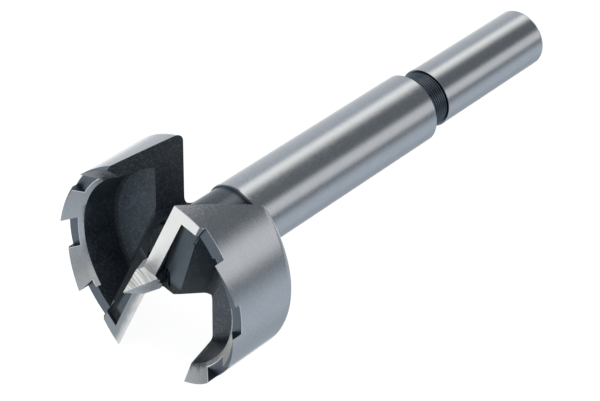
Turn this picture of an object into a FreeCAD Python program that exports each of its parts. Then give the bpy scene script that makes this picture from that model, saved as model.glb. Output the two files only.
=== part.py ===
"""Saw-toothed forstner bit, 35 mm cutting diameter on a 10 mm shank, in millimetres.

The tool is modelled along its own axis. Z runs from the plane of the tooth tips toward the shank,
X runs outward along one cutting lip, and Y runs toward the side that trails as the tool cuts.
The finished tool is then laid down as it comes to rest on a flat surface.
"""
import FreeCAD
import Part
import Sketcher
import math
import operator
import os
import types

NODE = "forstner_bit"

# Driving sizes in mm and degrees: name, value, what it is.
SIZES = [
    ("cutting_dia", 35.0, "diameter over the tooth tips"),
    ("head_depth", 13.0, "tooth tips to the back face of the head"),
    ("back_round", 1.4, "rounding of the outer back edge of the head"),
    ("pocket_depth", 8.2, "tooth tips to the floor of the hollow"),
    ("bevel_wall", 2.45, "rim wall where the inner bevel of the teeth ends"),
    ("bevel_angle", 45.0, "slope of the inner bevel of the teeth"),
    ("rim_draft", 8.6, "taper of the rim's inner wall"),
    ("floor_round", 0.8, "rounding between rim wall and floor"),
    ("lip_lead", 1.06, "how far each lip lies ahead of the axis"),
    ("lip_setback", 0.28, "how far each lip lies behind the tooth tips"),
    ("rake_angle", 29.0, "hook of the face under each lip"),
    ("relief_angle", 10.5, "slope of the ground land behind each lip"),
    ("land_width", 2.0, "width of the ground land behind each lip"),
    ("corner_length", 4.5, "length of the ground land along the rim"),
    ("corner_drop", 0.5, "depth of the slanted facet that ends that land"),
    ("corner_run", 0.65, "run of the slanted facet that ends that land"),
    ("corner_sweep", 28.0, "angle from the lip over which the rim has no inner bevel"),
    ("web_thick", 4.06, "lip to the trailing side of the web, level with the tips"),
    ("web_angle", 23.4, "slope of the trailing side of the web"),
    ("web_round", 1.8, "rounding between the web and the floor"),
    ("web_overlap", 0.65, "how far the web reaches into the rim"),
    ("relief_outer", 0.95, "depth of the web's relief at the rim"),
    ("relief_inner", 2.9, "depth of the web's relief past the axis"),
    ("relief_start", 1.75, "where the web's relief starts beside the point, from the axis"),
    ("relief_past", 2.2, "how far the web's relief runs past the axis, behind the point"),
    ("relief_step", 0.85, "how much farther from the lip the relief starts behind the point's edge"),
    ("relief_middle", 1.33, "how much farther from the lip it starts behind the point"),
    ("relief_tilt", 11.0, "fall of the web's relief away from the lip"),
    ("end_angle", 65.4, "direction that the trailing end of each wing faces"),
    ("end_offset", 7.34, "trailing end from the axis, level with the tips"),
    ("end_slope", 12.07, "slope of the trailing end toward the axis"),
    ("gullet_past", 2.16, "inner end of each gullet past the axis"),
    ("gullet_break", 1.67, "where the broken corner at that end starts, level with the tips"),
    ("gullet_break_slope", 29.9, "slope of the start of that broken corner"),
    ("gullet_inset", 0.35, "end of the broken corner past the axis, level with the tips"),
    ("gullet_slope", 10.8, "slope of the end of that broken corner"),
    ("tooth_count", 3.0, "saw teeth on each wing behind the lip"),
    ("tooth_pitch", 40.0, "angle from tooth to tooth"),
    ("first_tooth", 29.6, "angle from the lip to the first tooth tip"),
    ("notch_depth", 1.85, "depth of the gaps between the teeth"),
    ("notch_width", 4.85, "width of the gaps between the teeth"),
    ("notch_reach", 3.2, "how far the gaps run inward from the tips"),
    ("notch_sweep", 24.0, "turn of the gaps from the radius"),
    ("tooth_relief", 8.5, "fall of the outer relief behind each tooth tip"),
    ("tooth_relief_sweep", 30.0, "angle that the relief behind each tip covers"),
    ("point_length", 4.0, "centre point ahead of the tooth tips"),
    ("point_blunt", 0.22, "how much longer the point would be if its tip were sharp"),
    ("point_root", 1.2, "root of the centre point behind the tooth tips"),
    ("point_slope", 19.3, "slope of the point's four faces"),
    ("point_turn", 7.5, "turn of the point's faces away from the lips"),
    ("rake_end", 1.95, "end wall of the rake face at each lip, from the axis"),
    ("rake_end_turn", 33.7, "turn of that end wall"),
    ("rake_end_depth", 3.0, "depth where that end wall starts to run out"),
    ("rake_end_out", 6.4, "depth where that end wall has run out"),
    ("pit_depth", 4.0, "depth of the small pit where each lip meets the point"),
    ("core_start", 0.4, "front of the core, behind the tooth tips"),
    ("core_tip_dia", 4.3, "core diameter at its front"),
    ("core_end", 6.3, "where the core reaches the neck's diameter"),
    ("neck_dia", 11.2, "diameter of the neck behind the head"),
    ("neck_round", 1.5, "rounding between head and neck"),
    ("neck_length", 5.9, "back of the head to the body"),
    ("body_dia", 11.8, "diameter of the body"),
    ("body_length", 40.75, "length of the body"),
    ("body_edge", 0.35, "edge break of the body"),
    ("groove_dia", 9.2, "diameter in the groove"),
    ("groove_length", 4.0, "length of the groove"),
    ("shank_dia", 10.0, "diameter of the shank"),
    ("shank_length", 25.5, "length of the shank"),
    ("shank_round", 0.9, "rounding at the end of the shank"),
]


class Size:
    """A number together with the sheet formula that drives it."""

    def __init__(self, value, formula):
        self.value = value
        self.formula = formula

    def __add__(self, other):
        return combine(self, "+", other, operator.add)

    def __radd__(self, other):
        return combine(other, "+", self, operator.add)

    def __sub__(self, other):
        return combine(self, "-", other, operator.sub)

    def __rsub__(self, other):
        return combine(other, "-", self, operator.sub)

    def __mul__(self, other):
        return combine(self, "*", other, operator.mul)

    def __rmul__(self, other):
        return combine(other, "*", self, operator.mul)

    def __truediv__(self, other):
        return combine(self, "/", other, operator.truediv)

    def __rtruediv__(self, other):
        return combine(other, "/", self, operator.truediv)

    def __neg__(self):
        return combine(0.0, "-", self, operator.sub)


def as_size(item):
    """The item itself if it is a size, or a fixed number as one."""
    return item if isinstance(item, Size) else Size(float(item), f"{float(item):.6f}")


def combine(left, sign, right, rule):
    """The size made from two others by one step of arithmetic."""
    left, right = as_size(left), as_size(right)
    return Size(rule(left.value, right.value), f"({left.formula} {sign} {right.formula})")


def sine(angle):
    return Size(math.sin(math.radians(angle.value)), f"sin({angle.formula})")


def cosine(angle):
    return Size(math.cos(math.radians(angle.value)), f"cos({angle.formula})")


def tangent(angle):
    return Size(math.tan(math.radians(angle.value)), f"tan({angle.formula})")


def make_sizes(doc):
    """The sheet with one named cell for each driving size, and the sizes to build with."""
    sheet = doc.addObject("Spreadsheet::Sheet", "Sizes")
    sizes = types.SimpleNamespace()
    for row, (name, value, note) in enumerate(SIZES, start=1):
        sheet.set(f"A{row}", note)
        sheet.set(f"B{row}", str(value))
        sheet.setAlias(f"B{row}", name)
        setattr(sizes, name, Size(value, f"Sizes.{name}"))
    doc.recompute()
    return sizes


def origin_part(body, role):
    """The plane or axis of the body's origin that has this role."""
    return next(part for part in body.Origin.OriginFeatures if part.Role == role)


def bind(feature, **values):
    """Tie properties of a feature to sizes."""
    for name, value in values.items():
        feature.setExpression(name, as_size(value).formula)


def attach(feature, body, plane, shift=(0, 0, 0), turn=(0, 0, 0)):
    """Put a feature on a plane of the body, shifted along its axes and turned by three angles."""
    feature.AttachmentSupport = [(origin_part(body, plane), "")]
    feature.MapMode = "FlatFace"
    shifts = "; ".join(as_size(part).formula for part in shift)
    turns = "; ".join(as_size(part).formula for part in turn)
    feature.setExpression("AttachmentOffset", f"placement(vector({shifts}); rotation({turns}))")


def rounded_side(start, end, radius, left):
    """The arc from start to end that turns left, or right."""
    chord = end - start
    across = FreeCAD.Vector(-chord.y, chord.x, 0).normalize()
    reach = math.sqrt(radius ** 2 - (chord.Length / 2) ** 2)
    centre = (start + end) * 0.5 + across * (reach if left else -reach)
    first, last = (start, end) if left else (end, start)
    first_angle = math.atan2(first.y - centre.y, first.x - centre.x)
    last_angle = math.atan2(last.y - centre.y, last.x - centre.x)
    if last_angle < first_angle:
        last_angle += 2 * math.pi
    circle = Part.Circle(centre, FreeCAD.Vector(0, 0, 1), radius)
    return Part.ArcOfCircle(circle, first_angle, last_angle)


def outline(body, name, plane, corners, arcs=None, shift=(0, 0, 0), turn=(0, 0, 0)):
    """A closed sketch through corners, each tied to its sizes.

    arcs maps a side, counted from the first corner, to its radius and whether it turns left.
    """
    arcs = arcs or {}
    sketch = body.newObject("Sketcher::SketchObject", name)
    attach(sketch, body, plane, shift, turn)
    corners = [(as_size(across), as_size(up)) for across, up in corners]
    points = [FreeCAD.Vector(across.value, up.value, 0) for across, up in corners]
    count = len(points)
    ends = []
    for side in range(count):
        start, end = points[side], points[(side + 1) % count]
        if side in arcs:
            radius, left = arcs[side]
            sketch.addGeometry(rounded_side(start, end, radius.value, left), False)
            ends.append((1, 2) if left else (2, 1))
        else:
            sketch.addGeometry(Part.LineSegment(start, end), False)
            ends.append((1, 2))
    for side, corner in enumerate(corners):
        before = (side - 1) % count
        meet = Sketcher.Constraint("Coincident", before, ends[before][1], side, ends[side][0])
        sketch.addConstraint(meet)
        for kind, size in zip(("DistanceX", "DistanceY"), corner):
            constraint = Sketcher.Constraint(kind, -1, 1, side, ends[side][0], size.value)
            number = sketch.addConstraint(constraint)
            sketch.setExpression(f"Constraints[{number}]", size.formula)
    for side, (radius, _) in arcs.items():
        number = sketch.addConstraint(Sketcher.Constraint("Radius", side, radius.value))
        sketch.setExpression(f"Constraints[{number}]", radius.formula)
    return sketch


def turn_profile(body, kind, name, sketch, angle=360.0):
    """Revolve a sketch about its own upright axis, to add or to cut."""
    feature = body.newObject(f"PartDesign::{kind}", name)
    feature.Profile = sketch
    feature.ReferenceAxis = (sketch, ["V_Axis"])
    bind(feature, Angle=angle)
    return feature


def extrude_profile(body, kind, name, sketch, length, backward=False):
    """Extrude a sketch by a length, to add or to cut."""
    feature = body.newObject(f"PartDesign::{kind}", name)
    feature.Profile = sketch
    feature.Type = "Length"
    bind(feature, Length=length)
    feature.Reversed = backward
    return feature


def repeat_on_both_wings(body, name, features):
    """Copy features to the opposite wing."""
    pattern = body.newObject("PartDesign::PolarPattern", name)
    pattern.Originals = features
    pattern.Axis = (origin_part(body, "Z_Axis"), [""])
    pattern.Angle = 360
    pattern.Occurrences = 2
    body.Tip = pattern
    return pattern


def add_turned_blank(body, s):
    """Head disc, neck, body, groove and shank as one turned shape."""
    rim = s.cutting_dia / 2
    neck = s.neck_dia / 2
    barrel = s.body_dia / 2
    groove = s.groove_dia / 2
    shank = s.shank_dia / 2
    barrel_start = s.head_depth + s.neck_length
    barrel_end = barrel_start + s.body_length
    shank_start = barrel_end + s.groove_length
    tail = shank_start + s.shank_length
    corners = [
        (0, 0),
        (rim, 0),
        (rim, s.head_depth - s.back_round),
        (rim - s.back_round, s.head_depth),
        (neck + s.neck_round, s.head_depth),
        (neck, s.head_depth + s.neck_round),
        (neck, barrel_start),
        (barrel - s.body_edge, barrel_start),
        (barrel, barrel_start + s.body_edge),
        (barrel, barrel_end - s.body_edge),
        (barrel - s.body_edge, barrel_end),
        (groove, barrel_end),
        (groove, shank_start),
        (shank, shank_start),
        (shank, tail - s.shank_round),
        (shank - s.shank_round, tail),
        (0, tail),
    ]
    arcs = {2: (s.back_round, True), 4: (s.neck_round, False), 14: (s.shank_round, True)}
    sketch = outline(body, "blank_profile", "XZ_Plane", corners, arcs)
    turn_profile(body, "Revolution", "blank", sketch)


def rim_wall(s, depth):
    """Radius of the rim's tapered inner wall at a depth."""
    bevel_depth = s.bevel_wall / tangent(s.bevel_angle)
    return s.cutting_dia / 2 - s.bevel_wall - (depth - bevel_depth) * tangent(s.rim_draft)


def cut_hollow(body, s):
    """The open hollow inside the rim: bevelled mouth, tapered wall and rounded foot."""
    rim = s.cutting_dia / 2
    bevel_depth = s.bevel_wall / tangent(s.bevel_angle)
    foot = rim_wall(s, s.pocket_depth)
    run = s.floor_round * tangent((90 - s.rim_draft) / 2)
    corners = [
        (0, -1 / tangent(s.bevel_angle)),
        (rim + 1, -1 / tangent(s.bevel_angle)),
        (rim - s.bevel_wall, bevel_depth),
        (foot + run * sine(s.rim_draft), s.pocket_depth - run * cosine(s.rim_draft)),
        (foot - run, s.pocket_depth),
        (0, s.pocket_depth),
    ]
    sketch = outline(body, "hollow_profile", "XZ_Plane", corners, {3: (s.floor_round, True)})
    turn_profile(body, "Groove", "hollow", sketch)


def add_rim_corners(body, s):
    """The solid first stretch of each wing's rim, which carries the lip's outer corner."""
    rim = s.cutting_dia / 2
    bevel_depth = s.bevel_wall / tangent(s.bevel_angle)
    lead = 15.0
    corners = [
        (rim_wall(s, as_size(0)), 0),
        (rim, 0),
        (rim, bevel_depth + 0.5),
        (rim_wall(s, bevel_depth + 0.5), bevel_depth + 0.5),
    ]
    sketch = outline(body, "corner_profile", "XZ_Plane", corners, turn=(0, -lead, 0))
    corner = turn_profile(body, "Revolution", "corner", sketch, s.corner_sweep + lead)
    repeat_on_both_wings(body, "corners", [corner])


def gullet_corners(s, depth, foot=None, back_off=0.0):
    """Outline of the chip gullet at a depth: rake face, broken inner corner and wing's end.

    Past the floor of the hollow, the inner corner stays as it is at that foot, backed off a little.
    """
    reach = 25.0
    foot = foot or depth
    rake = s.lip_lead - (depth - s.lip_setback) * tangent(s.rake_angle)
    low = s.gullet_break + foot * tangent(s.gullet_break_slope) - back_off
    inset = s.gullet_inset + foot * tangent(s.gullet_slope)
    high = s.web_thick - s.lip_lead + foot * tangent(s.web_angle) - back_off
    end = s.end_offset - depth * tangent(s.end_slope)
    inner_end = (end + inset * cosine(s.end_angle)) / sine(s.end_angle)
    outer_end = (end + reach * cosine(s.end_angle)) / sine(s.end_angle)
    return [
        (-s.gullet_past, rake),
        (-s.gullet_past, low),
        (-inset, high),
        (-inset, inner_end),
        (-reach, outer_end),
        (-reach, rake),
    ]


def cut_gullets(body, s):
    """The two chip gullets, right through the head."""
    front = as_size(-0.2)
    back = s.head_depth + s.neck_round + 0.1
    sections = []
    for name, depth, corners in (
            ("gullet_front", front, gullet_corners(s, front)),
            ("gullet_foot", s.pocket_depth, gullet_corners(s, s.pocket_depth)),
            ("gullet_back", back, gullet_corners(s, back, s.pocket_depth, 1.8))):
        sections.append(outline(body, name, "XY_Plane", corners, shift=(0, 0, depth)))
    gullet = body.newObject("PartDesign::SubtractiveLoft", "gullet")
    gullet.Profile = sections[0]
    gullet.Sections = sections[1:]
    gullet.Ruled = True
    repeat_on_both_wings(body, "gullets", [gullet])


def add_webs(body, s):
    """The cutting webs from the core to the rim, hooked in front and rounded into the floor."""
    below = s.pocket_depth + 1
    foot = s.web_thick - s.lip_lead + s.pocket_depth * tangent(s.web_angle)
    run = s.web_round * tangent((90 - s.web_angle) / 2)
    corners = [
        (-s.lip_lead - s.lip_setback * tangent(s.rake_angle), 0),
        (s.web_thick - s.lip_lead, 0),
        (foot - run * sine(s.web_angle), s.pocket_depth - run * cosine(s.web_angle)),
        (foot + run, s.pocket_depth),
        (foot + run, below),
        ((below - s.lip_setback) * tangent(s.rake_angle) - s.lip_lead, below),
    ]
    past = 2.5
    sketch = outline(body, "web_profile", "YZ_Plane", corners, {2: (s.web_round, False)},
                     shift=(0, 0, -past))
    reach = s.cutting_dia / 2 - s.bevel_wall + s.web_overlap
    web = extrude_profile(body, "Pad", "web", sketch, reach + past)
    repeat_on_both_wings(body, "webs", [web])


def add_core(body, s):
    """The cone in the middle of the hollow, widening to the neck."""
    neck = s.neck_dia / 2
    barrel_start = s.head_depth + s.neck_length
    corners = [
        (0, s.core_start),
        (s.core_tip_dia / 2, s.core_start),
        (neck, s.core_end),
        (neck, barrel_start),
        (0, barrel_start),
    ]
    sketch = outline(body, "core_profile", "XZ_Plane", corners)
    turn_profile(body, "Revolution", "core", sketch)


def grind_lands(body, s):
    """The flat land ground behind each lip and along the first stretch of rim."""
    ahead, in_front = as_size(-4.0), as_size(-6.0)
    corner = s.corner_length - s.lip_lead
    corner_depth = s.lip_setback + s.corner_length * tangent(s.relief_angle)
    corners = [
        (ahead, in_front),
        (corner + s.corner_run, in_front),
        (corner + s.corner_run, corner_depth + s.corner_drop),
        (corner, corner_depth),
        (ahead, s.lip_setback + (ahead + s.lip_lead) * tangent(s.relief_angle)),
    ]
    sketch = outline(body, "land_profile", "YZ_Plane", corners)
    land = extrude_profile(body, "Pocket", "land", sketch, s.cutting_dia / 2 + 1, backward=True)
    repeat_on_both_wings(body, "lands", [land])


def cut_web_reliefs(body, s):
    """The recess on top of each web behind its land, deeper toward the point."""
    in_front = as_size(-3.0)
    outer = s.cutting_dia / 2 - s.bevel_wall + 0.05
    fall = (s.relief_inner - s.relief_outer) / (outer + s.relief_past)
    edge = s.land_width - s.lip_lead + s.relief_outer * sine(s.relief_tilt)
    reliefs = []
    for name, start, stop, step in (("relief", s.relief_start, outer, as_size(0)),
                                    ("point_relief", as_size(0.4), s.relief_start + 0.05, s.relief_step),
                                    ("centre_relief", -s.relief_past, as_size(0.45), s.relief_middle)):
        corners = [
            (start, in_front),
            (stop, in_front),
            (stop, s.relief_outer + (outer - stop) * fall),
            (start, s.relief_outer + (outer - start) * fall),
        ]
        shift = (0, step * sine(s.relief_tilt), -edge - step * cosine(s.relief_tilt))
        sketch = outline(body, f"{name}_profile", "XZ_Plane", corners, shift=shift,
                         turn=(0, 0, s.relief_tilt))
        reliefs.append(extrude_profile(body, "Pocket", name, sketch, 4.0 - step))
    repeat_on_both_wings(body, "reliefs", reliefs)


def grind_gashes(body, s):
    """The flat that carries each front face of the point on into the core."""
    corners = [(-6, 2), (2.2, 2), (2.2, 7.25), (-2.1, 7.75), (-3.2, 7.1), (-6, 5.3)]
    sketch = outline(body, "gash_profile", "XZ_Plane", corners,
                     shift=(0, -(s.point_length + s.point_blunt), 0),
                     turn=(0, -s.point_turn, -s.point_slope))
    gash = extrude_profile(body, "Pocket", "gash", sketch, 4.0)
    repeat_on_both_wings(body, "gashes", [gash])


def cut_teeth(body, s):
    """The gaps between the saw teeth and the relief ground outside behind each tip."""
    rim = s.cutting_dia / 2
    tip = s.first_tooth
    edge_corners = [(rim - 4, -4), (rim + 2, -4), (rim + 2, 2)]
    edge_sketch = outline(body, "edge_profile", "XZ_Plane", edge_corners,
                          turn=(0, tip, s.tooth_relief))
    edge = turn_profile(body, "Groove", "edge", edge_sketch, s.tooth_relief_sweep)

    gap_corners = [
        (-s.notch_reach, -s.notch_width),
        (2, -s.notch_width),
        (2, 0),
        (-s.notch_reach, 0),
    ]
    gap_sketch = outline(body, "gap_profile", "XY_Plane", gap_corners,
                         shift=(rim * cosine(tip), rim * sine(tip), 0),
                         turn=(tip - s.notch_sweep, 0, 0))
    gap = extrude_profile(body, "Pocket", "gap", gap_sketch, s.notch_depth, backward=True)

    around = body.newObject("PartDesign::MultiTransform", "teeth")
    along_wing = body.newObject("PartDesign::PolarPattern", "teeth_along_wing")
    along_wing.Axis = (origin_part(body, "Z_Axis"), [""])
    bind(along_wing, Angle=s.tooth_pitch * (s.tooth_count - 1))
    bind(along_wing, Occurrences=s.tooth_count)
    both_wings = body.newObject("PartDesign::PolarPattern", "teeth_on_both_wings")
    both_wings.Axis = (origin_part(body, "Z_Axis"), [""])
    both_wings.Angle = 360
    both_wings.Occurrences = 2
    around.Originals = [edge, gap]
    around.Transformations = [along_wing, both_wings]
    body.Tip = around


def point_corners(s, depth):
    """The four corners of the centre point at a depth: two near the axis and two farther out."""
    reach = (depth + s.point_length + s.point_blunt) * tangent(s.point_slope)
    near = reach / cosine(45 - s.point_turn) * cosine(as_size(45))
    far = reach / cosine(45 + s.point_turn) * cosine(as_size(45))
    return [(near, near), (-far, far), (-near, -near), (far, -far)]


def add_centre_point(body, s):
    """The four-sided centre point with its blunt tip."""
    sections = []
    for name, depth in (("point_foot", s.point_root), ("point_tip", -s.point_length)):
        sections.append(outline(body, name, "XY_Plane", point_corners(s, depth), shift=(0, 0, depth)))
    point = body.newObject("PartDesign::AdditiveLoft", "centre_point")
    point.Profile = sections[0]
    point.Sections = [sections[1]]
    point.Ruled = True


def rake_end_corners(s, rake, wall, inner):
    """Outline of what is ground away ahead of a lip, from its end wall outward."""
    across, along = cosine(s.rake_end_turn), sine(s.rake_end_turn)
    far = (inner * across - wall) / along
    return [
        ((wall + rake * along) / across, rake),
        (inner, far),
        (inner, far - 4),
        (14, far - 4),
        (14, rake),
    ]


def grind_rake_ends(body, s):
    """The end wall where the ground rake face of each lip stops beside the point."""
    slope = tangent(s.rake_angle)
    deep_rake = (s.rake_end_depth - s.lip_setback) * slope - s.lip_lead
    back_rake = (s.rake_end_out - s.lip_setback) * slope - s.lip_lead
    deep = s.rake_end + 0.1
    out = s.neck_dia / 2 + 0.15
    walls = {
        "rake_end": (("front", as_size(-5.0), -s.lip_lead, s.rake_end, as_size(0.4)),
                     ("lip", s.lip_setback, -s.lip_lead, s.rake_end, as_size(0.4)),
                     ("deep", s.rake_end_depth, deep_rake, deep, as_size(0.4))),
        "rake_runout": (("deep", s.rake_end_depth, deep_rake, deep, s.gullet_past),
                        ("back", s.rake_end_out, back_rake, out, s.gullet_past)),
    }
    ends = []
    for wall_name, levels in walls.items():
        sections = []
        for name, depth, rake, wall, inner in levels:
            corners = rake_end_corners(s, rake, wall, inner)
            sections.append(outline(body, f"{wall_name}_{name}", "XY_Plane", corners,
                                    shift=(0, 0, depth)))
        end = body.newObject("PartDesign::SubtractiveLoft", f"{wall_name}_wall")
        end.Profile = sections[0]
        end.Sections = sections[1:]
        end.Ruled = True
        ends.append(end)
    repeat_on_both_wings(body, "rake_end_walls", ends)


def cut_pits(body, s):
    """The small pit behind each land, at the foot of the point."""
    edge = s.land_width - s.lip_lead + s.relief_outer * sine(s.relief_tilt)
    corners = [(1.75, edge), (3.2, edge), (1.82, 2.0), (0.45, 2.47), (-1.2, 2.9), (-0.95, 2.35),
               (1.05, 1.8), (1.55, 1.5)]
    sketch = outline(body, "pit_profile", "XY_Plane", corners, shift=(0, 0, s.pit_depth))
    pit = extrude_profile(body, "Pocket", "pit", sketch, s.pit_depth + 1)
    repeat_on_both_wings(body, "pits", [pit])


def build_tool(doc, s):
    """The whole tool as one body along its own axis."""
    body = doc.addObject("PartDesign::Body", NODE)
    body.Label = NODE
    for step in (add_turned_blank, cut_hollow, add_rim_corners, add_webs, cut_gullets, add_core,
                 grind_lands, cut_web_reliefs, grind_gashes, cut_teeth, add_centre_point,
                 grind_rake_ends, cut_pits):
        step(body, s)
        doc.recompute()
    return body


def resting_points(s):
    """Where the lying tool touches the ground: back corner, lip corner and end of the shank."""
    rim = s.cutting_dia.value / 2
    back = s.head_depth.value - s.back_round.value
    end = s.end_offset.value - back * math.tan(math.radians(s.end_slope.value))
    angle = math.radians(s.end_angle.value) + math.acos(end / rim)
    back_corner = FreeCAD.Vector(rim * math.cos(angle), rim * math.sin(angle), back)
    lead = s.lip_lead.value
    lip_corner = FreeCAD.Vector(-math.sqrt(rim ** 2 - lead ** 2), lead, s.lip_setback.value)
    lengths = (s.head_depth, s.neck_length, s.body_length, s.groove_length, s.shank_length)
    tail = sum(length.value for length in lengths) - s.shank_round.value
    shank_end = FreeCAD.Vector(0, 0, tail)
    for _ in range(20):
        normal = (lip_corner - back_corner).cross(shank_end - back_corner).normalize()
        if normal.dot(back_corner) > 0:
            normal = -normal
        down = FreeCAD.Vector(-normal.x, -normal.y, 0).normalize()
        shank_end = down * (s.shank_dia.value / 2) + FreeCAD.Vector(0, 0, tail)
    return back_corner, normal


def lay_down(body, s):
    """Lay the tool on the ground, its shank toward X and the middle of its box over the origin."""
    contact, up = resting_points(s)
    along = FreeCAD.Vector(0, 0, 1) - up * up.z
    along.normalize()
    side = up.cross(along)
    turn = FreeCAD.Matrix(along.x, along.y, along.z, 0, side.x, side.y, side.z, 0,
                          up.x, up.y, up.z, 0, 0, 0, 0, 1)
    rotation = FreeCAD.Placement(turn).Rotation
    body.Placement = FreeCAD.Placement(FreeCAD.Vector(0, 0, -up.dot(contact)), rotation)
    box = body.Shape.optimalBoundingBox(False)
    middle = FreeCAD.Vector(box.Center.x, box.Center.y, box.ZMin)
    body.Placement = FreeCAD.Placement(body.Placement.Base - middle, rotation)


def check(doc):
    """Stop if any object failed to compute or any shape is missing or broken."""
    for item in doc.Objects:
        faults = {"Invalid", "Error"} & set(item.State)
        if faults:
            raise RuntimeError(f"{item.Label} is {sorted(faults)}")
        if item.TypeId == "PartDesign::Body" and (item.Shape.isNull() or not item.Shape.isValid()):
            raise RuntimeError(f"{item.Label} has a broken shape")


def main():
    os.makedirs("parts", exist_ok=True)
    doc = FreeCAD.newDocument("forstner")
    sizes = make_sizes(doc)
    body = build_tool(doc, sizes)
    lay_down(body, sizes)
    doc.recompute()
    check(doc)
    body.Shape.exportStep(f"parts/{NODE}.step")


main()
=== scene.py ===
"""Looks of a saw-toothed forstner bit: toothed head, barrel, turned groove and shank.

Sizes of the tool are in its own frame, in millimetres: Z runs from the tooth tips toward the shank, X along
one cutting lip, and Y toward the side that trails in the cut. The stage is in metres, in the part's frame.
"""
import math

import bmesh
import bpy
from mathutils import Matrix, Vector


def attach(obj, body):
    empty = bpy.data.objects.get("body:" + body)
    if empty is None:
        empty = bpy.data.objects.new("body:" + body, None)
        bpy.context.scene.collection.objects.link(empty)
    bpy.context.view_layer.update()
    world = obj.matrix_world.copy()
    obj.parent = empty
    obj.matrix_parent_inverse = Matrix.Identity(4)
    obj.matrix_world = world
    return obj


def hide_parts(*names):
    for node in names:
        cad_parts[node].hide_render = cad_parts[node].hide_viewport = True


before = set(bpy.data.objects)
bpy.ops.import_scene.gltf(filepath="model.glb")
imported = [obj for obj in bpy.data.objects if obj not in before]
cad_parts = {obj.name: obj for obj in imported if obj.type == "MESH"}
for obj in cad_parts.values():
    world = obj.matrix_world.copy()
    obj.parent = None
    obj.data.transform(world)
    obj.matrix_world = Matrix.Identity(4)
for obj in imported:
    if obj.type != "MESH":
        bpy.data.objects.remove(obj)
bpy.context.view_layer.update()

bl_info = {
    "name": "Forstner Bit",
    "version": (1, 0, 0),
    "blender": (4, 5, 0),
    "location": "View3D > Sidebar > Forstner Bit",
    "description": "A saw-toothed forstner bit lying on a pale studio floor",
    "category": "Object",
}

NODE = "forstner_bit"
BODY = "root"
MM = 0.001

# Where the tool lies: turned about its own axis, tipped over until its shank meets the floor, and moved by
# ORIGIN, in metres. The product is written out, so that it isn't rounded on the way.
ROLL = math.radians(-165.97909185)
TIP = math.radians(97.8983516)
ORIGIN = (-0.04244962549, 0.0, 0.01711938821)
TOOL_TO_ROW = Matrix((
    (math.cos(TIP) * math.cos(ROLL), -math.cos(TIP) * math.sin(ROLL), math.sin(TIP), ORIGIN[0]),
    (math.sin(ROLL), math.cos(ROLL), 0.0, ORIGIN[1]),
    (-math.sin(TIP) * math.cos(ROLL), math.sin(TIP) * math.sin(ROLL), math.cos(TIP), ORIGIN[2]),
    (0.0, 0.0, 0.0, 1.0),
))
ROW_TO_TOOL = TOOL_TO_ROW.inverted()

# Radii of the tool, and its stations along the axis from the tooth tips.
RIM = 17.5
NECK_RADIUS = 5.6
BARREL_RADIUS = 5.9
SHANK_RADIUS = 5.0
GAP_FLOOR = 1.85
POCKET = 8.2
HEAD_BACK = 13.0
NECK_CUT = 18.6
NECK_TUCK = 0.7
BARREL_START = 18.9
BARREL_END = 59.65
GROOVE_END = 63.65
SHANK_END = 89.15


# ---------------------------------------------------------------- node helpers

def make_material(name):
    """An empty material with a Principled shader, and that shader."""
    material = bpy.data.materials.new(name)
    material.use_nodes = True
    tree = material.node_tree
    tree.nodes.clear()
    shader = tree.nodes.new("ShaderNodeBsdfPrincipled")
    output = tree.nodes.new("ShaderNodeOutputMaterial")
    tree.links.new(shader.outputs["BSDF"], output.inputs["Surface"])
    return material, tree, shader


def put(tree, socket, value):
    """Link a socket into another, or set it to a plain value."""
    if isinstance(value, bpy.types.NodeSocket):
        tree.links.new(value, socket)
    else:
        socket.default_value = value


def math_node(tree, operation, first, second=0.0, third=0.0, clamp=False):
    """The result of a Math node; each value is a number or a socket."""
    node = tree.nodes.new("ShaderNodeMath")
    node.operation = operation
    node.use_clamp = clamp
    for socket, value in zip(node.inputs, (first, second, third)):
        put(tree, socket, value)
    return node.outputs[0]


def vector_node(tree, operation, first, second):
    """The result of a Vector Math node."""
    node = tree.nodes.new("ShaderNodeVectorMath")
    node.operation = operation
    put(tree, node.inputs[0], first)
    put(tree, node.inputs[1], second)
    return node.outputs["Value" if operation == "DOT_PRODUCT" else "Vector"]


def map_range(tree, value, low, high, to_low=0.0, to_high=1.0, smooth=False):
    """A value carried from one range to another, and held at the ends."""
    node = tree.nodes.new("ShaderNodeMapRange")
    node.interpolation_type = "SMOOTHSTEP" if smooth else "LINEAR"
    for name, item in (("Value", value), ("From Min", low), ("From Max", high),
                       ("To Min", to_low), ("To Max", to_high)):
        put(tree, node.inputs[name], item)
    return node.outputs[0]


def window(tree, value, start, full, end, gone):
    """1 between full and end, falling softly to 0 at start and gone."""
    rise = map_range(tree, value, start, full, smooth=True)
    return math_node(tree, "MULTIPLY", rise, map_range(tree, value, end, gone, 1.0, 0.0, smooth=True))


def noise(tree, vector, scale, detail, roughness):
    """Soft noise from 0 to 1 at the places that a vector gives."""
    node = tree.nodes.new("ShaderNodeTexNoise")
    put(tree, node.inputs["Vector"], vector)
    for name, item in (("Scale", scale), ("Detail", detail), ("Roughness", roughness)):
        node.inputs[name].default_value = item
    return node.outputs["Fac"]


def mix_colour(tree, factor, first, second, blend="MIX"):
    """Two colours mixed, multiplied or added; each is a plain colour or a socket."""
    node = tree.nodes.new("ShaderNodeMix")
    node.data_type = "RGBA"
    node.blend_type = blend
    put(tree, node.inputs[0], factor)
    for socket, value in ((node.inputs[6], first), (node.inputs[7], second)):
        put(tree, socket, value if isinstance(value, bpy.types.NodeSocket) else (*value[:3], 1.0))
    return node.outputs[2]


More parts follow.
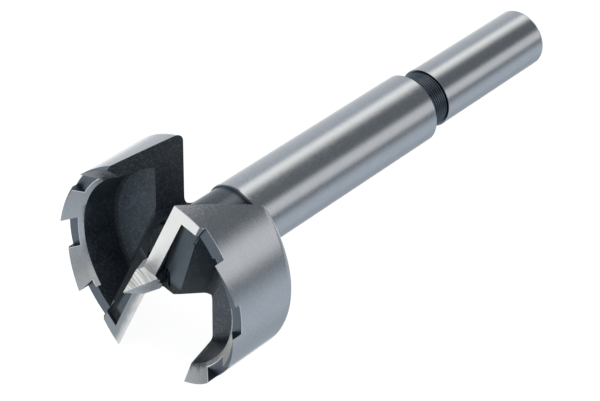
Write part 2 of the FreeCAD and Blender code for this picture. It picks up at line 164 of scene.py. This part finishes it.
def tool_coordinates(tree):
    """Object coordinates turned into the tool's own frame, in millimetres."""
    coordinates = tree.nodes.new("ShaderNodeTexCoord").outputs["Object"]
    mapping = tree.nodes.new("ShaderNodeMapping")
    mapping.vector_type = "TEXTURE"
    mapping.inputs["Location"].default_value = TOOL_TO_ROW.translation
    mapping.inputs["Rotation"].default_value = TOOL_TO_ROW.to_euler()
    mapping.inputs["Scale"].default_value = (MM, MM, MM)
    tree.links.new(coordinates, mapping.inputs["Vector"])
    return mapping.outputs["Vector"]


def split_xyz(tree, vector):
    """The three parts of a vector."""
    node = tree.nodes.new("ShaderNodeSeparateXYZ")
    tree.links.new(vector, node.inputs[0])
    return node.outputs


def grey(tree, level):
    """A number as a grey colour."""
    node = tree.nodes.new("ShaderNodeCombineXYZ")
    for socket in node.inputs:
        tree.links.new(level, socket)
    return node.outputs[0]


def bump(tree, shader, height, distance):
    """Tilt a shader's normal by a height from 0 to 1, which stands for a distance in millimetres."""
    node = tree.nodes.new("ShaderNodeBump")
    node.inputs["Strength"].default_value = 1.0
    node.inputs["Distance"].default_value = distance * MM
    tree.links.new(height, node.inputs["Height"])
    tree.links.new(node.outputs["Normal"], shader.inputs["Normal"])


# ---------------------------------------------------------------- finishes

STEEL_TINT = (0.60, 0.61, 0.63)


def grained_steel(name, colour, roughness, grain, contrast, height, metallic=1.0, cloud=0.05):
    """Ground or brushed steel: fine lines drawn out by the three grain scales, over soft clouding."""
    material, tree, shader = make_material(name)
    place = tool_coordinates(tree)
    lines = noise(tree, vector_node(tree, "MULTIPLY", place, grain), 1.0, 3.0, 0.6)
    clouds = noise(tree, place, 0.35, 3.0, 0.5)
    fine = map_range(tree, lines, 0.3, 0.7, -1.0, 1.0)
    soft = map_range(tree, clouds, 0.3, 0.7, -1.0, 1.0)
    level = math_node(tree, "MULTIPLY_ADD", fine, contrast, 1.0)
    level = math_node(tree, "MULTIPLY_ADD", soft, cloud, level)
    painted = mix_colour(tree, 1.0, colour, grey(tree, level), "MULTIPLY")
    tree.links.new(painted, shader.inputs["Base Color"])
    rough = math_node(tree, "MULTIPLY_ADD", fine, roughness * 0.25, roughness, clamp=True)
    tree.links.new(rough, shader.inputs["Roughness"])
    shader.inputs["Metallic"].default_value = metallic
    bump(tree, shader, lines, height)
    return material


def forged_steel(name, colour, light, size, height, specular):
    """Blackened forged steel: a fine granular skin with paler specks and broad patches."""
    material, tree, shader = make_material(name)
    place = tool_coordinates(tree)
    grains = noise(tree, place, size, 5.0, 0.65)
    patches = noise(tree, place, 0.35, 3.0, 0.5)
    specks = map_range(tree, grains, 0.50, 0.76)
    broad = map_range(tree, patches, 0.35, 0.65, 0.0, 0.12)
    factor = math_node(tree, "ADD", specks, broad, clamp=True)
    tree.links.new(mix_colour(tree, factor, colour, light), shader.inputs["Base Color"])
    tree.links.new(map_range(tree, grains, 0.3, 0.7, 0.42, 0.60), shader.inputs["Roughness"])
    shader.inputs["Specular IOR Level"].default_value = specular
    bump(tree, shader, grains, height)
    return material


def shade_part(material, dark, make_factor):
    """Repaint a grained steel: a dark colour where the factor is 0, its own where it is 1."""
    tree = material.node_tree
    shader = tree.nodes["Principled BSDF"]
    own = shader.inputs["Base Color"].links[0].from_socket
    factor = make_factor(tree, tool_coordinates(tree))
    tree.links.new(mix_colour(tree, factor, dark, own), shader.inputs["Base Color"])
    return material


def lip_steel():
    """Bright ground land of the lips; on one wing it gets painted shade away from its edge, with a streaked
    border.
    """
    # Factor 1 keeps the land's own colour; on the wing where x is below zero it falls to 0 away from the lip
    # edge, where painted shade is laid.
    def land_clear_of_painted_shade(tree, place):
        x, y, _ = split_xyz(tree, place)
        streaks = noise(tree, vector_node(tree, "MULTIPLY", place, (0.35, 1.2, 0.5)), 1.0, 3.0, 0.6)
        behind = math_node(tree, "MULTIPLY_ADD", streaks, 1.2, y)
        lit_toward_edge = math_node(tree, "MULTIPLY", map_range(tree, behind, 0.15, 1.6, smooth=True), 0.82)
        unshaded_wing = map_range(tree, x, -2.0, 2.0)
        return math_node(tree, "MAXIMUM", lit_toward_edge, unshaded_wing)

    steel = grained_steel("ground_land", (0.85, 0.84, 0.82), 0.36, (6.0, 0.35, 1.0), 0.07, 0.002, cloud=0.03)
    # The dark colour is painted shade.
    return shade_part(steel, (0.26, 0.295, 0.325), land_clear_of_painted_shade)


def relief_steel():
    """Milled relief behind the lips: brushed along them, with a painted shadow in the corner beside the land
    on one wing, and painted shade over the other wing but for a painted lit patch.
    """
    def lit(tree, place):
        x, y, _ = split_xyz(tree, place)
        behind = math_node(tree, "MULTIPLY", y, math_node(tree, "SIGN", x))
        outward = math_node(tree, "ABSOLUTE", x)
        # Painted light: a lit patch on the wing where x is below zero; the rest of that wing's relief gets
        # painted shade.
        patch = math_node(tree, "MULTIPLY", window(tree, behind, 0.2, 0.9, 2.3, 2.9),
                          window(tree, outward, 4.0, 5.2, 12.4, 13.2))
        # Painted shadow: a dark band beside the land, where the step's shadow falls, on the wing where x is
        # above zero.
        clear_of_step_shadow = map_range(tree, behind, 1.15, 1.85, smooth=True)
        second_wing = map_range(tree, x, -1.0, 1.0)
        return math_node(tree, "MULTIPLY_ADD", second_wing, math_node(tree, "SUBTRACT", clear_of_step_shadow, patch), patch)

    steel = grained_steel("milled_relief", (0.080, 0.100, 0.122), 0.42, (0.25, 3.6, 3.6), 0.26, 0.003)
    # The dark colour is painted shade and painted shadow.
    return shade_part(steel, (0.014, 0.017, 0.021), lit)


def neck_steel():
    """The neck: blue-grey in the middle, with painted shade toward the webs and under the barrel's edge."""
    def neck_unshaded_middle(tree, place):
        # The factor is 1 in the middle of the neck and falls to 0 toward the head and under the barrel's edge,
        # where painted shade is laid.
        return window(tree, split_xyz(tree, place)[2], 12.2, 14.2, 17.9, 18.8)

    steel = grained_steel("neck_with_painted_shade", (0.125, 0.14, 0.16), 0.3, (2.0, 2.0, 3.0), 0.12, 0.002)
    return shade_part(steel, (0.03, 0.035, 0.042), neck_unshaded_middle)


def make_finishes():
    """Every finish of the tool, by the name of the zone that wears it."""
    satin = (4.0, 4.0, 6.0)
    return {
        "rim": grained_steel("satin_steel", STEEL_TINT, 0.21, satin, 0.09, 0.0005, cloud=0.02),
        "land": lip_steel(),
        "facet": grained_steel("corner_facet", (0.30, 0.33, 0.37), 0.4, (7.0, 0.25, 0.25), 0.1, 0.003),
        "point": grained_steel("striped_point", (0.72, 0.72, 0.70), 0.3, (0.5, 0.12, 4.2), 0.75, 0.006),
        "point_side": grained_steel("ground_point_side", (0.70, 0.71, 0.71), 0.36, (1.2, 0.2, 5.0), 0.12,
                                    0.002),
        "gash": grained_steel("ground_gash", (0.62, 0.62, 0.67), 0.4, (2.5, 2.5, 0.4), 0.1, 0.002,
                              metallic=0.25),
        "flank": grained_steel("tooth_flank", (0.62, 0.62, 0.62), 0.32, (7.0, 7.0, 1.2), 0.10, 0.001,
                               cloud=0.0),
        "relief": relief_steel(),
        "gap": grained_steel("milled_gap", (0.085, 0.105, 0.13), 0.4, (2.5, 2.5, 0.6), 0.12, 0.002),
        "outer": grained_steel("outer_relief", (0.24, 0.26, 0.29), 0.34, satin, 0.10, 0.001),
        # The edge finish is for the small bevels, which are real shape; its near-white colour is a painted
        # highlight.
        "edge": grained_steel("edge_painted_highlight", (0.97, 0.97, 0.97), 0.3, satin, 0.03, 0.0005),
        "black": forged_steel("blackened_steel", (0.013, 0.021, 0.031), (0.11, 0.13, 0.15), 3.4, 0.06, 0.38),
        "end": forged_steel("blackened_end", (0.030, 0.038, 0.048), (0.16, 0.175, 0.19), 3.4, 0.06, 0.38),
        "floor": forged_steel("forged_floor", (0.062, 0.083, 0.106), (0.24, 0.28, 0.32), 2.4, 0.30, 0.5),
        "neck": neck_steel(),
        "groove": grained_steel("dark_turned_groove", (0.10, 0.12, 0.145), 0.3, (0.2, 0.2, 5.0), 0.2, 0.003),
    }


# ---------------------------------------------------------------- mesh helpers

def new_object(name, mesh):
    """An object at the origin that shows a mesh."""
    piece = bpy.data.objects.new(name, mesh)
    bpy.context.scene.collection.objects.link(piece)
    return piece


def finish_piece(piece):
    """Hide the solid's own mesh and let the piece ride on the body."""
    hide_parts(NODE)
    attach(piece, BODY)


def smooth(mesh, angle=15.0):
    """Shade a mesh smooth, apart from edges sharper than an angle in degrees."""
    mesh.shade_smooth()
    mesh.set_sharp_from_angle(angle=math.radians(angle))


def turned_mesh(name, profile, steps=192, dark_bands=()):
    """A closed turned shape from (radius, height) pairs that start and end on the axis.

    Bands of faces wear the first material, and those whose numbers are given as dark wear the second.
    """
    vertices, faces, rings = [], [], []
    for radius, height in profile:
        around = steps if radius else 1
        rings.append(range(len(vertices), len(vertices) + around))
        for step in range(around):
            angle = 2 * math.pi * step / steps
            spot = Vector((radius * math.cos(angle), radius * math.sin(angle), height))
            vertices.append(TOOL_TO_ROW @ (spot * MM))
    for low, high in zip(rings, rings[1:]):
        for step in range(steps):
            after = (step + 1) % steps
            if len(low) == 1:
                faces.append((low[0], high[after], high[step]))
            elif len(high) == 1:
                faces.append((low[step], low[after], high[0]))
            else:
                faces.append((low[step], low[after], high[after], high[step]))
    mesh = bpy.data.meshes.new(name)
    mesh.from_pydata(vertices, [], faces)
    for number, face in enumerate(mesh.polygons):
        face.material_index = int(number // steps in dark_bands)
    return mesh


def quarter_round(radius, end, bend, steps=8):
    """Points of a turned profile that round off an end, from the side to the face."""
    points = []
    for step in range(steps + 1):
        angle = math.pi / 2 * step / steps
        points.append((radius - bend + bend * math.cos(angle), end - bend + bend * math.sin(angle)))
    return points


# ---------------------------------------------------------------- the head

# Ground faces of the first wing: finish, direction they look in, how closely a face must look that way,
# how far back they reach, and the radii that they lie between. The second wing's are turned by half a turn.
GROUND_FACES = (
    ("land", Vector((0.0, 0.182, -0.983)), 0.998, 1.4, 0.0, 18.0),
    ("facet", Vector((0.0, 0.61, -0.792)), 0.995, 1.9, 14.5, 18.0),
    ("point", Vector((0.936, 0.123, -0.33)), 0.99, 0.9, 0.0, 2.6),
    ("point_side", Vector((0.123, 0.936, -0.33)), 0.99, 3.6, 0.0, 4.0),
    ("end", Vector((0.407, 0.889, -0.209)), 0.999, HEAD_BACK, 0.0, 18.0),
    ("relief", Vector((-0.112, 0.19, -0.975)), 0.995, 3.8, 0.0, 18.0),
    ("gash", Vector((0.832, -0.555, 0.0)), 0.985, 3.0, 0.0, 3.2),
)

# Where the blunt tip of the point starts, how far back and inward the teeth reach, and how far the rounding
# of the back edge comes forward.
POINT_TIP = -3.9
TEETH_BACK = 2.6
TEETH_INSIDE = 14.0
BACK_ROUND = 1.7


def zone_of(centre, normal):
    """The finish that a face of the head wears, from where it is and where it faces."""
    radius = math.hypot(centre.x, centre.y)
    outward = (normal.x * centre.x + normal.y * centre.y) / max(radius, 1e-6)
    if centre.z > HEAD_BACK + 0.05 or (centre.z > HEAD_BACK - 1 and radius < NECK_RADIUS + 0.1):
        return "neck"
    if outward > 0.93 and radius > RIM - 0.25:
        return "rim"
    if normal.z > 0.97 and centre.z > HEAD_BACK - 0.1:
        return "rim" if radius > NECK_RADIUS + 1.6 else "neck"
    if radius > RIM - 2.2 and centre.z > HEAD_BACK - BACK_ROUND and normal.z > 0.05 and outward > 0.05:
        return "rim"
    for wing in (1, -1):
        facing = Vector((wing * normal.x, wing * normal.y, normal.z))
        for zone, look, closeness, back, inside, outside in GROUND_FACES:
            if facing.dot(look) > closeness and centre.z < back and inside < radius < outside:
                return zone
    if centre.z < POINT_TIP:
        return "point"
    if normal.z < -0.99 and abs(centre.z - GAP_FLOOR) < 0.1 and radius > TEETH_INSIDE - 0.5:
        return "gap"
    if normal.z < -0.97 and abs(centre.z - POCKET) < 0.2:
        return "floor"
    if centre.z < TEETH_BACK and radius > TEETH_INSIDE:
        if outward < -0.55 and normal.z < -0.5:
            return "flank"
        if outward > 0.3 and normal.z < -0.3:
            return "outer"
        if outward > -0.9 and centre.z < GAP_FLOOR - 0.05:
            return "gap"
    return "black"


def break_edges(bm, names, width):
    """Break the sharp edges where lands, tooth flanks or the rim meet another ground face; the small bevels
    wear the edge finish, whose near-white colour is a painted highlight.
    """
    bright = {names.index(name) for name in ("rim", "land", "flank")}
    ground = bright | {names.index(name) for name in ("facet", "gap", "point", "point_side")}
    chosen = []
    for edge in bm.edges:
        if len(edge.link_faces) != 2 or not edge.is_convex or edge.calc_length() < 3 * width:
            continue
        zones = {face.material_index for face in edge.link_faces}
        if len(zones) == 2 and zones <= ground and zones & bright and edge.calc_face_angle() > 0.5:
            chosen.append(edge)
    bmesh.ops.bevel(bm, geom=chosen, offset=width, offset_type="OFFSET", segments=1, profile=0.5,
                    affect="EDGES", clamp_overlap=False, material=names.index("edge"))


def true_up_rim(mesh, rim_index):
    """Give the round rim the normals of a true cylinder, so that it shines as a turned face does."""
    wanted = [(0.0, 0.0, 0.0)] * len(mesh.loops)
    axis = TOOL_TO_ROW.col[2].xyz
    turned = TOOL_TO_ROW.to_3x3()
    for face in mesh.polygons:
        if face.material_index != rim_index or abs(face.normal.dot(axis)) > 0.03:
            continue
        for loop in face.loop_indices:
            spot = ROW_TO_TOOL @ mesh.vertices[mesh.loops[loop].vertex_index].co
            wanted[loop] = tuple(turned @ Vector((spot.x, spot.y, 0.0)).normalized())
    mesh.normals_split_custom_set(wanted)


def cut_off_neck(bm):
    """Cut the neck through, stretch its cut edge into the barrel and close it."""
    everything = bm.verts[:] + bm.edges[:] + bm.faces[:]
    cut = bmesh.ops.bisect_plane(bm, geom=everything, dist=1e-5, plane_co=(0, 0, NECK_CUT),
                                 plane_no=(0, 0, 1), clear_outer=True)
    edges = [item for item in cut["geom_cut"] if isinstance(item, bmesh.types.BMEdge)]
    stretched = bmesh.ops.extrude_edge_only(bm, edges=edges)["geom"]
    into_barrel = [item for item in stretched if isinstance(item, bmesh.types.BMVert)]
    bmesh.ops.translate(bm, verts=into_barrel, vec=(0, 0, NECK_TUCK))
    loop = [item for item in stretched if isinstance(item, bmesh.types.BMEdge)]
    bmesh.ops.contextual_create(bm, geom=loop)


def build_head(finishes, edge_break):
    """The toothed head and neck, cut from a copy of the solid's mesh."""
    bm = bmesh.new()
    bm.from_mesh(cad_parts[NODE].data)
    bmesh.ops.remove_doubles(bm, verts=bm.verts, dist=2e-6)
    bm.transform(Matrix.Scale(1 / MM, 4) @ ROW_TO_TOOL)
    cut_off_neck(bm)
    bmesh.ops.recalc_face_normals(bm, faces=bm.faces)
    bmesh.ops.dissolve_limit(bm, angle_limit=math.radians(0.4), verts=bm.verts, edges=bm.edges,
                             delimit={"NORMAL"})
    names = list(finishes)
    for face in bm.faces:
        face.material_index = names.index(zone_of(face.calc_center_median(), face.normal))
    if edge_break > 0:
        break_edges(bm, names, edge_break / MM)
    bm.transform(TOOL_TO_ROW @ Matrix.Scale(MM, 4))
    mesh = bpy.data.meshes.new("toothed_head")
    bm.to_mesh(mesh)
    bm.free()
    for finish in finishes.values():
        mesh.materials.append(finish)
    smooth(mesh)
    true_up_rim(mesh, names.index("rim"))
    return new_object("toothed_head", mesh)


# ---------------------------------------------------------------- barrel, groove, shank

def build_turned(name, profile, finish, dark, dark_bands):
    """A turned piece in a bright finish, with some bands of its profile in a dark one."""
    mesh = turned_mesh(name, profile, dark_bands=dark_bands)
    mesh.materials.append(finish)
    mesh.materials.append(dark)
    smooth(mesh)
    return new_object(name, mesh)


def build_barrel(finish, dark):
    """The barrel: edges broken at both ends, its faces dark where they look at neck and groove."""
    radius, edge, corner, dish = BARREL_RADIUS, 0.35, 0.12, 0.02
    front_flat, back_flat = 5.0, 4.0
    profile = [
        (0, BARREL_START + dish),
        (front_flat, BARREL_START + dish),
        (radius - edge, BARREL_START),
        (radius - corner, BARREL_START + edge - corner),
        (radius, BARREL_START + edge),
        (radius, BARREL_END - edge),
        (radius - edge, BARREL_END),
        (back_flat, BARREL_END),
        (0, BARREL_END),
    ]
    return build_turned("barrel", profile, finish, dark, dark_bands=(0, 1, 2, 6, 7))


def build_shank(finish, dark):
    """The shank: a small edge at the groove and a rounded end."""
    edge, bend = 0.12, 0.9
    profile = [(0, GROOVE_END), (SHANK_RADIUS - edge, GROOVE_END), (SHANK_RADIUS, GROOVE_END + edge)]
    profile += quarter_round(SHANK_RADIUS, SHANK_END, bend)
    profile += [(0, SHANK_END)]
    return build_turned("shank", profile, finish, dark, dark_bands=(0,))


def groove_tree(finish, sizes):
    """Geometry nodes: rings of a rounded tooth, set out along the groove."""
    tree = bpy.data.node_groups.new("turned_groove", "GeometryNodeTree")
    face = tree.interface
    for name, value in sizes.items():
        kind = "NodeSocketInt" if isinstance(value, int) else "NodeSocketFloat"
        face.new_socket(name, in_out="INPUT", socket_type=kind).default_value = value
    face.new_socket("Geometry", in_out="OUTPUT", socket_type="NodeSocketGeometry")
    nodes, links = tree.nodes, tree.links
    given = nodes.new("NodeGroupInput")
    result = nodes.new("NodeGroupOutput")
    circle = nodes.new("GeometryNodeCurvePrimitiveCircle")
    circle.inputs["Resolution"].default_value = 160
    section = nodes.new("GeometryNodeCurvePrimitiveCircle")
    section.inputs["Resolution"].default_value = 10
    sweep = nodes.new("GeometryNodeCurveToMesh")
    line = nodes.new("GeometryNodeMeshLine")
    spot = nodes.new("ShaderNodeCombineXYZ")
    step = nodes.new("ShaderNodeCombineXYZ")
    place = nodes.new("GeometryNodeInstanceOnPoints")
    real = nodes.new("GeometryNodeRealizeInstances")
    paint = nodes.new("GeometryNodeSetMaterial")
    paint.inputs["Material"].default_value = finish
    links.new(given.outputs["Ring radius"], circle.inputs["Radius"])
    links.new(given.outputs["Ring thickness"], section.inputs["Radius"])
    links.new(circle.outputs["Curve"], sweep.inputs["Curve"])
    links.new(section.outputs["Curve"], sweep.inputs["Profile Curve"])
    links.new(given.outputs["Start"], spot.inputs["Z"])
    links.new(given.outputs["Pitch"], step.inputs["Z"])
    links.new(given.outputs["Rings"], line.inputs["Count"])
    links.new(spot.outputs[0], line.inputs["Start Location"])
    links.new(step.outputs[0], line.inputs["Offset"])
    links.new(line.outputs["Mesh"], place.inputs["Points"])
    links.new(sweep.outputs["Mesh"], place.inputs["Instance"])
    links.new(place.outputs["Instances"], real.inputs["Geometry"])
    links.new(real.outputs["Geometry"], paint.inputs["Geometry"])
    links.new(paint.outputs["Geometry"], result.inputs["Geometry"])
    return tree


def build_rings(finish, ring_count, pitch):
    """The turned rings of the groove, as one plain mesh."""
    sizes = {"Ring radius": 4.40, "Ring thickness": 0.20, "Pitch": pitch, "Start": BARREL_END + 0.2,
             "Rings": ring_count}
    holder = new_object("groove_rings_maker", bpy.data.meshes.new("groove_rings_maker"))
    modifier = holder.modifiers.new("rings", "NODES")
    modifier.node_group = groove_tree(finish, sizes)
    for item in modifier.node_group.interface.items_tree:
        if item.item_type == "SOCKET" and item.in_out == "INPUT":
            modifier[item.identifier] = sizes[item.name]
    mesh = bpy.data.meshes.new_from_object(holder.evaluated_get(bpy.context.evaluated_depsgraph_get()))
    bpy.data.objects.remove(holder)
    mesh.transform(TOOL_TO_ROW @ Matrix.Scale(MM, 4))
    mesh.name = "groove_rings"
    smooth(mesh, 40.0)
    return new_object("groove_rings", mesh)


def build_groove_core(finish):
    """The core that carries the rings, let into barrel and shank."""
    radius, tuck = 4.42, 0.5
    profile = [(0, BARREL_END - tuck), (radius, BARREL_END - tuck), (radius, GROOVE_END + tuck),
               (0, GROOVE_END + tuck)]
    mesh = turned_mesh("groove_core", profile, 96)
    mesh.materials.append(finish)
    smooth(mesh)
    return new_object("groove_core", mesh)


# ---------------------------------------------------------------- stage

def soft_box(name, azimuth, elevation, distance, width, radiance):
    """A square lamp that faces the tool and sends out an even radiance."""
    lamp = bpy.data.lights.new(name, "AREA")
    lamp.size = width
    lamp.energy = radiance * math.pi * width ** 2
    around, up = math.radians(azimuth), math.radians(elevation)
    away = Vector((math.cos(around) * math.cos(up), math.sin(around) * math.cos(up), math.sin(up)))
    holder = bpy.data.objects.new(name, lamp)
    bpy.context.scene.collection.objects.link(holder)
    holder.location = Vector((0, 0, TOOL_MIDDLE)) + away * distance
    holder.rotation_euler = away.to_track_quat("Z", "Y").to_euler()


def build_floor(colour, white):
    """A plain floor that only the camera sees, so that the light strips reach the tool from below too."""
    mesh = bpy.data.meshes.new("floor")
    half = 3.0
    mesh.from_pydata([(-half, -half, 0), (half, -half, 0), (half, half, 0), (-half, half, 0)], [],
                     [(0, 1, 2, 3)])
    floor = new_object("floor", mesh)
    material = bpy.data.materials.new("pale_floor")
    material.use_nodes = True
    tree = material.node_tree
    tree.nodes.clear()
    output = tree.nodes.new("ShaderNodeOutputMaterial")
    clear = tree.nodes.new("ShaderNodeBsdfTransparent")
    dim = tree.nodes.new("ShaderNodeBsdfDiffuse")
    dim.inputs["Color"].default_value = (*colour, 1.0)
    glow = tree.nodes.new("ShaderNodeEmission")
    glow.inputs["Strength"].default_value = white
    seen = tree.nodes.new("ShaderNodeAddShader")
    mix = tree.nodes.new("ShaderNodeMixShader")
    path = tree.nodes.new("ShaderNodeLightPath")
    tree.links.new(dim.outputs[0], seen.inputs[0])
    tree.links.new(glow.outputs[0], seen.inputs[1])
    tree.links.new(path.outputs["Is Camera Ray"], mix.inputs[0])
    tree.links.new(clear.outputs[0], mix.inputs[1])
    tree.links.new(seen.outputs[0], mix.inputs[2])
    tree.links.new(mix.outputs[0], output.inputs["Surface"])
    mesh.materials.append(material)


TOOL_MIDDLE = 0.015

# Light round the tool's axis: soft strips that run along the tool. Each grows from its first angle to its
# second and fades from its third to its fourth, in degrees from X toward Y, and adds its share.
SKY = (1.0, 1.12, 1.24)
PLAIN = (1.0, 1.0, 1.0)
LAMP = (1.0, 0.97, 0.90)
AMBIENT = 0.14
STRIPS = (
    ("low side strip", (22, 42, 55, 76), 0.62, PLAIN),
    ("far fill", (65, 105, 290, 348), 0.26, SKY),
    ("far strip", (65, 101, 118, 150), 0.12, SKY),
    ("overhead strip", (175, 184, 212, 235), 0.49, LAMP),
    ("overhead spill", (175, 184, 205, 325), 0.36, LAMP),
    ("near strip", (291, 314, 316, 347), 0.91, LAMP),
)

# A dark card over the tool: the angles it shades, how far it reaches along the axis, and how much it takes.
CARD_TURN = (199, 207, 222, 262)
CARD_REACH = (-0.50, -0.38, 0.38, 0.50)
CARD_SHADE = 0.66


def build_world():
    """A pale studio of light strips along the tool, white where the camera sees it."""
    world = bpy.data.worlds.new("studio")
    bpy.context.scene.world = world
    world.use_nodes = True
    tree = world.node_tree
    tree.nodes.clear()
    output = tree.nodes.new("ShaderNodeOutputWorld")
    around = tree.nodes.new("ShaderNodeTexCoord").outputs["Generated"]
    along_x = vector_node(tree, "DOT_PRODUCT", around, TOOL_TO_ROW.col[0].xyz)
    along_y = vector_node(tree, "DOT_PRODUCT", around, TOOL_TO_ROW.col[1].xyz)
    forward = vector_node(tree, "DOT_PRODUCT", around, TOOL_TO_ROW.col[2].xyz)
    turn = math_node(tree, "DIVIDE", math_node(tree, "ARCTAN2", along_y, along_x), 2 * math.pi)
    degrees = math_node(tree, "MULTIPLY", math_node(tree, "FRACT", turn), 360)
    colour = [AMBIENT * part for part in SKY]
    for name, span, share, tint in STRIPS:
        colour = mix_colour(tree, window(tree, degrees, *span), colour, [share * part for part in tint], "ADD")
    card = math_node(tree, "MULTIPLY", window(tree, degrees, *CARD_TURN), window(tree, forward, *CARD_REACH))
    light = tree.nodes.new("ShaderNodeBackground")
    tree.links.new(math_node(tree, "MULTIPLY_ADD", card, -CARD_SHADE, 1.0), light.inputs["Strength"])
    tree.links.new(colour, light.inputs["Color"])
    white = tree.nodes.new("ShaderNodeBackground")
    white.inputs["Color"].default_value = (1, 1, 1, 1)
    mix = tree.nodes.new("ShaderNodeMixShader")
    path = tree.nodes.new("ShaderNodeLightPath")
    tree.links.new(path.outputs["Is Camera Ray"], mix.inputs[0])
    tree.links.new(light.outputs[0], mix.inputs[1])
    tree.links.new(white.outputs[0], mix.inputs[2])
    tree.links.new(mix.outputs[0], output.inputs["Surface"])


def build_camera():
    """The camera: a long lens that looks down past the teeth along the tool."""
    data = bpy.data.cameras.new("camera")
    data.sensor_width = 36.0
    data.lens = 125.54
    data.clip_start, data.clip_end = 0.01, 20.0
    camera = bpy.data.objects.new("camera", data)
    bpy.context.scene.collection.objects.link(camera)
    camera.location = (-0.171255, -0.132558, 0.254415)
    camera.rotation_euler = [math.radians(angle) for angle in (40.148, -3.394, -46.758)]
    bpy.context.scene.camera = camera


# ---------------------------------------------------------------- the add-on

class ForstnerSizes(bpy.types.PropertyGroup):
    """Sizes that a user may change."""

    edge_break: bpy.props.FloatProperty(
        name="Edge break", description="How far the ground edges of the head are cut back",
        default=0.06 * MM, min=0.0, unit="LENGTH", subtype="DISTANCE", precision=5)
    ring_count: bpy.props.IntProperty(
        name="Rings", description="Turned rings in the groove", default=9, min=1, max=20)
    ring_pitch: bpy.props.FloatProperty(
        name="Ring pitch", description="Distance from ring to ring", default=0.45 * MM, min=0.0,
        unit="LENGTH", subtype="DISTANCE", precision=5)


class ForstnerFinish(bpy.types.PropertyGroup):
    """Colours and light that a user may change."""

    floor_colour: bpy.props.FloatVectorProperty(
        name="Floor", description="Colour of the studio floor", default=(0.25, 0.25, 0.25), min=0.0, max=1.0,
        subtype="COLOR")
    floor_white: bpy.props.FloatProperty(
        name="Floor white", description="How white the camera sees the lit floor", default=0.935, min=0.0,
        max=1.0, subtype="FACTOR")


FINISHES = {}


def finishes():
    """The finishes, made once and shared by every piece."""
    if not FINISHES:
        FINISHES.update(make_finishes())
    return FINISHES


class FORSTNER_OT_stage(bpy.types.Operator):
    """Make the floor, the lamps, the world and the camera"""

    bl_idname = "forstner.stage"
    bl_label = "Stage"

    def execute(self, context):
        looks = context.scene.forstner_finish
        build_floor(tuple(looks.floor_colour), looks.floor_white)
        build_world()
        soft_box("overhead_box", azimuth=-30, elevation=76, distance=0.7, width=0.46, radiance=1.1)
        build_camera()
        context.scene.view_settings.view_transform = "Standard"
        return {"FINISHED"}


class FORSTNER_OT_head(bpy.types.Operator):
    """Make the toothed head with its lips, point and neck"""

    bl_idname = "forstner.head"
    bl_label = "Toothed head"

    def execute(self, context):
        finish_piece(build_head(finishes(), context.scene.forstner_sizes.edge_break))
        return {"FINISHED"}


class FORSTNER_OT_barrel(bpy.types.Operator):
    """Make the ground barrel between neck and groove"""

    bl_idname = "forstner.barrel"
    bl_label = "Barrel"

    def execute(self, context):
        finish_piece(build_barrel(finishes()["rim"], finishes()["groove"]))
        return {"FINISHED"}


class FORSTNER_OT_groove(bpy.types.Operator):
    """Make the turned groove with its rings"""

    bl_idname = "forstner.groove"
    bl_label = "Groove"

    def execute(self, context):
        sizes = context.scene.forstner_sizes
        finish = finishes()["groove"]
        finish_piece(build_rings(finish, sizes.ring_count, sizes.ring_pitch / MM))
        finish_piece(build_groove_core(finish))
        return {"FINISHED"}


class FORSTNER_OT_shank(bpy.types.Operator):
    """Make the round shank"""

    bl_idname = "forstner.shank"
    bl_label = "Shank"

    def execute(self, context):
        finish_piece(build_shank(finishes()["rim"], finishes()["groove"]))
        return {"FINISHED"}


class FORSTNER_PT_panel(bpy.types.Panel):
    """The sidebar panel that lists the steps"""

    bl_idname = "FORSTNER_PT_panel"
    bl_label = "Forstner Bit"
    bl_space_type = "VIEW_3D"
    bl_region_type = "UI"
    bl_category = "Forstner Bit"

    def draw(self, context):
        column = self.layout.column()
        for group in (context.scene.forstner_sizes, context.scene.forstner_finish):
            for name in group.__annotations__:
                column.prop(group, name)
        for operator in OPERATORS:
            column.operator(operator.bl_idname)


OPERATORS = (FORSTNER_OT_stage, FORSTNER_OT_head, FORSTNER_OT_barrel, FORSTNER_OT_groove,
             FORSTNER_OT_shank)
CLASSES = (ForstnerSizes, ForstnerFinish, *OPERATORS, FORSTNER_PT_panel)


def register():
    for item in CLASSES:
        bpy.utils.register_class(item)
    bpy.types.Scene.forstner_sizes = bpy.props.PointerProperty(type=ForstnerSizes)
    bpy.types.Scene.forstner_finish = bpy.props.PointerProperty(type=ForstnerFinish)


def unregister():
    del bpy.types.Scene.forstner_finish
    del bpy.types.Scene.forstner_sizes
    for item in reversed(CLASSES):
        bpy.utils.unregister_class(item)


def main():
    """Make the whole scene."""
    register()
    bpy.ops.forstner.stage()
    bpy.ops.forstner.head()
    bpy.ops.forstner.barrel()
    bpy.ops.forstner.groove()
    bpy.ops.forstner.shank()


if __name__ == "__main__":
    main()
